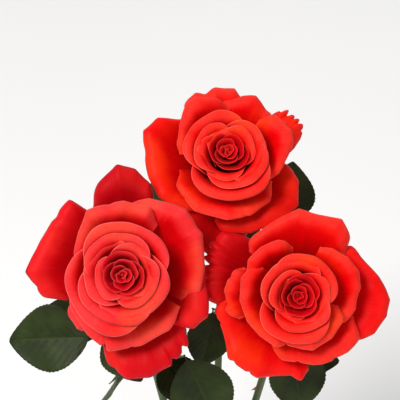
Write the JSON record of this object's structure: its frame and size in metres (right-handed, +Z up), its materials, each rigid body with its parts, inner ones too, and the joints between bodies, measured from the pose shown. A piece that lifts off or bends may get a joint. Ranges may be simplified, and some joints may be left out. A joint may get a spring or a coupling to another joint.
{
  "type": "roses in a vase",
  "caption": "Cut red roses with leaves on thorny stems, standing in a plain off-white glazed vase with a narrow neck.",
  "frame": {"origin": "centre of the vase's flat foot, on the surface it stands on", "axes": "+Z up along the vase's axis, the blooms face -Y, +X to the right as seen from the front"},
  "size_m": [0.2597, 0.2088, 0.5083],
  "materials": {
    "petal_left": "satin",
    "petal_top": "satin",
    "petal_right": "satin",
    "leaf": "satin",
    "stem": "satin",
    "sepal": "satin",
    "glaze": "gloss"
  },
  "bodies": {
    "root": {"vase": "glaze", "rose_left_stem": "stem", "rose_left_calyx": "sepal", "rose_left_heart": "petal_left", "rose_left_petal_01": "petal_left", "rose_left_petal_02": "petal_left", "rose_left_petal_03": "petal_left", "rose_left_petal_04": "petal_left", "rose_left_petal_05": "petal_left", "rose_left_petal_06": "petal_left", "rose_left_petal_07": "petal_left", "rose_left_petal_08": "petal_left", "rose_left_petal_09": "petal_left", "rose_left_petal_10": "petal_left", "rose_left_petal_11": "petal_left", "rose_left_petal_12": "petal_left", "rose_left_petal_13": "petal_left", "rose_left_petal_14": "petal_left", "rose_top_stem": "stem", "rose_top_calyx": "sepal", "rose_top_heart": "petal_top", "rose_top_petal_01": "petal_top", "rose_top_petal_02": "petal_top", "rose_top_petal_03": "petal_top", "rose_top_petal_04": "petal_top", "rose_top_petal_05": "petal_top", "rose_top_petal_06": "petal_top", "rose_top_petal_07": "petal_top", "rose_top_petal_08": "petal_top", "rose_top_petal_09": "petal_top", "rose_top_petal_10": "petal_top", "rose_top_petal_11": "petal_top", "rose_top_petal_12": "petal_top", "rose_top_petal_13": "petal_top", "rose_top_petal_14": "petal_top", "rose_right_stem": "stem", "rose_right_calyx": "sepal", "rose_right_heart": "petal_right", "rose_right_petal_01": "petal_right", "rose_right_petal_02": "petal_right", "rose_right_petal_03": "petal_right", "rose_right_petal_04": "petal_right", "rose_right_petal_05": "petal_right", "rose_right_petal_06": "petal_right", "rose_right_petal_07": "petal_right", "rose_right_petal_08": "petal_right", "rose_right_petal_09": "petal_right", "rose_right_petal_10": "petal_right", "rose_right_petal_11": "petal_right", "rose_right_petal_12": "petal_right", "rose_right_petal_13": "petal_right", "rose_right_petal_14": "petal_right", "leaf_left_side": "leaf", "leaf_left_front": "leaf", "leaf_middle_low": "leaf", "leaf_middle_high": "leaf", "leaf_right_front": "leaf", "leaf_top_side": "leaf", "leaf_back_left": "leaf", "leaf_back_right": "leaf"}
  },
  "joints": []
}
